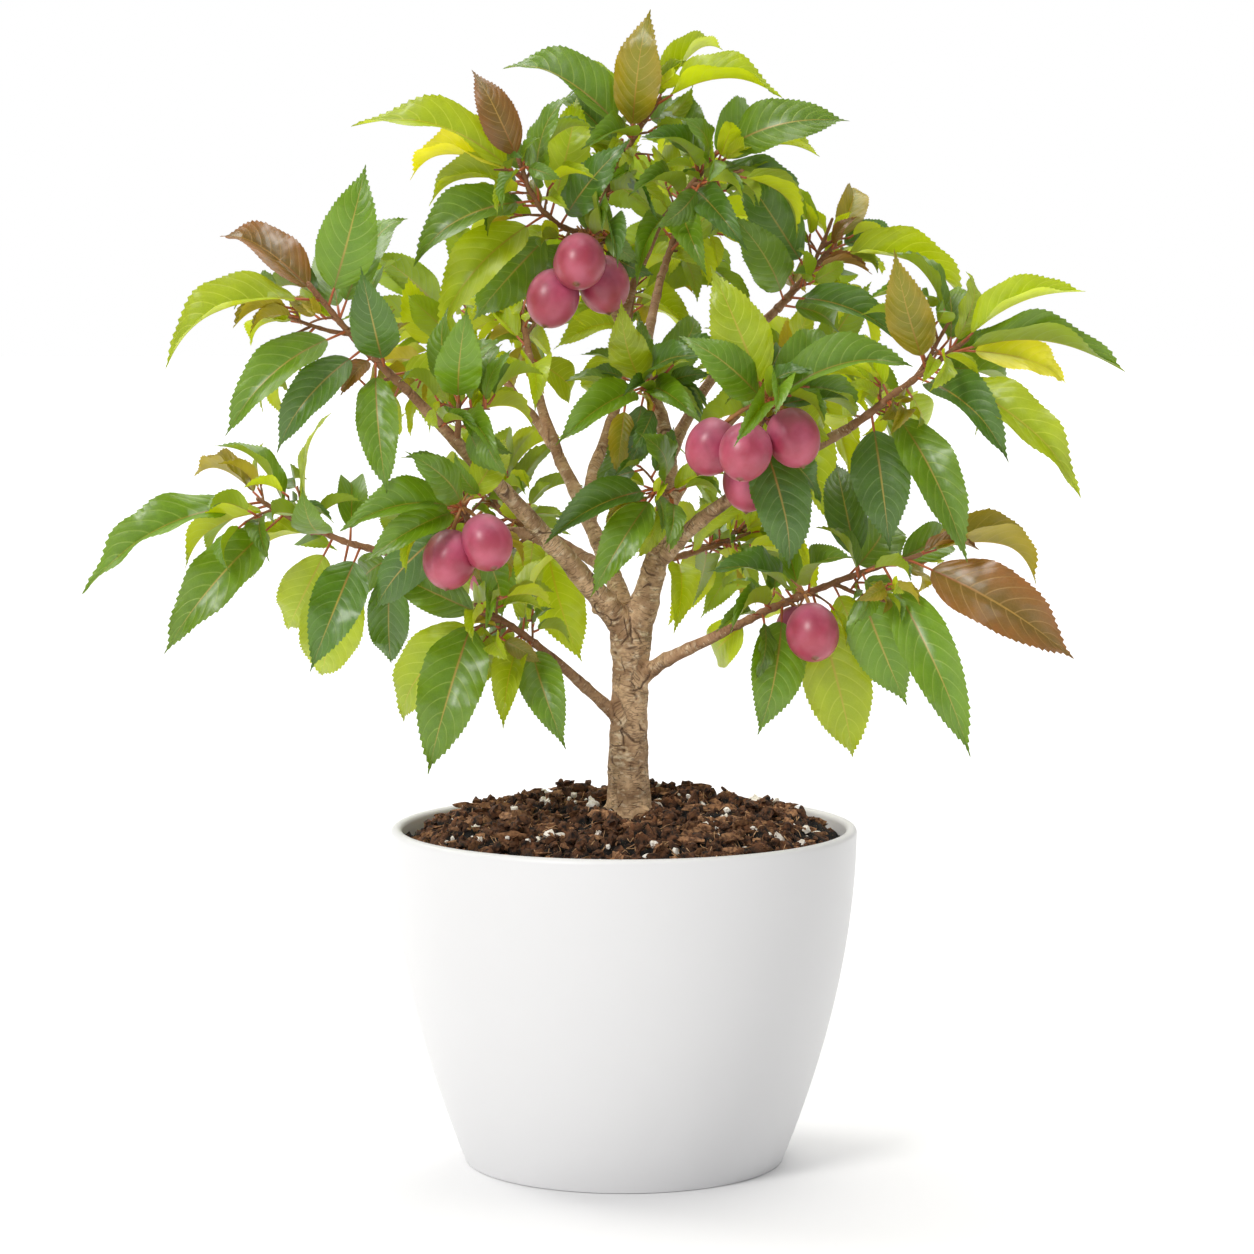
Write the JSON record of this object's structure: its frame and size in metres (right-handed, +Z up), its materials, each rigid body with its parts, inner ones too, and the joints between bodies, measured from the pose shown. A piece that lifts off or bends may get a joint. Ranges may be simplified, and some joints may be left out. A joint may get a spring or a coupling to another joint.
{
  "type": "potted plum tree",
  "caption": "Small bushy plum tree with ripe pink plums, grown in a round white pot with a rounded rim and filled with dark soil.",
  "frame": {"origin": "centre of the pot's flat underside, at the level of the surface it stands on", "axes": "+Z up along the trunk, -Y towards the tree's front, +X to the right as seen from the front"},
  "size_m": [0.6594, 0.4213, 0.7399],
  "materials": {
    "pot": "white satin, smooth",
    "soil": "dark crumbly potting soil with light fibres and white grains",
    "bark": "tan to grey-brown bark, finely ringed and lightly fissured",
    "foliage": "glossy serrated green leaves with red stalks, young bronze tips and pink bloomy plums"
  },
  "bodies": {
    "root": {"bough_back_centre": "bark", "bough_back_left": "bark", "bough_leader_high": "bark", "bough_leader_low": "bark", "bough_left_main": "bark", "bough_low_left": "bark", "bough_low_right": "bark", "bough_mid_left": "bark", "bough_rear_high": "bark", "bough_rear_left": "bark", "bough_rear_low_left": "bark", "bough_rear_low_right": "bark", "bough_rear_right": "bark", "bough_right_main": "bark", "bough_top_right": "bark", "bough_upper_right": "bark", "foliage_back_centre": "foliage", "foliage_back_left": "foliage", "foliage_centre_high": "foliage", "foliage_centre_low": "foliage", "foliage_left_fruit": "foliage", "foliage_left_high": "foliage", "foliage_left_side": "foliage", "foliage_low_left": "foliage", "foliage_low_right": "foliage", "foliage_mid_left": "foliage", "foliage_rear_high": "foliage", "foliage_rear_left": "foliage", "foliage_rear_low_left": "foliage", "foliage_rear_low_right": "foliage", "foliage_rear_right": "foliage", "foliage_right_fruit": "foliage", "foliage_right_high": "foliage", "foliage_top": "foliage", "foliage_top_fruit": "foliage", "foliage_top_left": "foliage", "foliage_top_right": "foliage", "foliage_upper_right": "foliage", "pot": "pot", "soil": "soil", "trunk": "bark"}
  },
  "joints": []
}
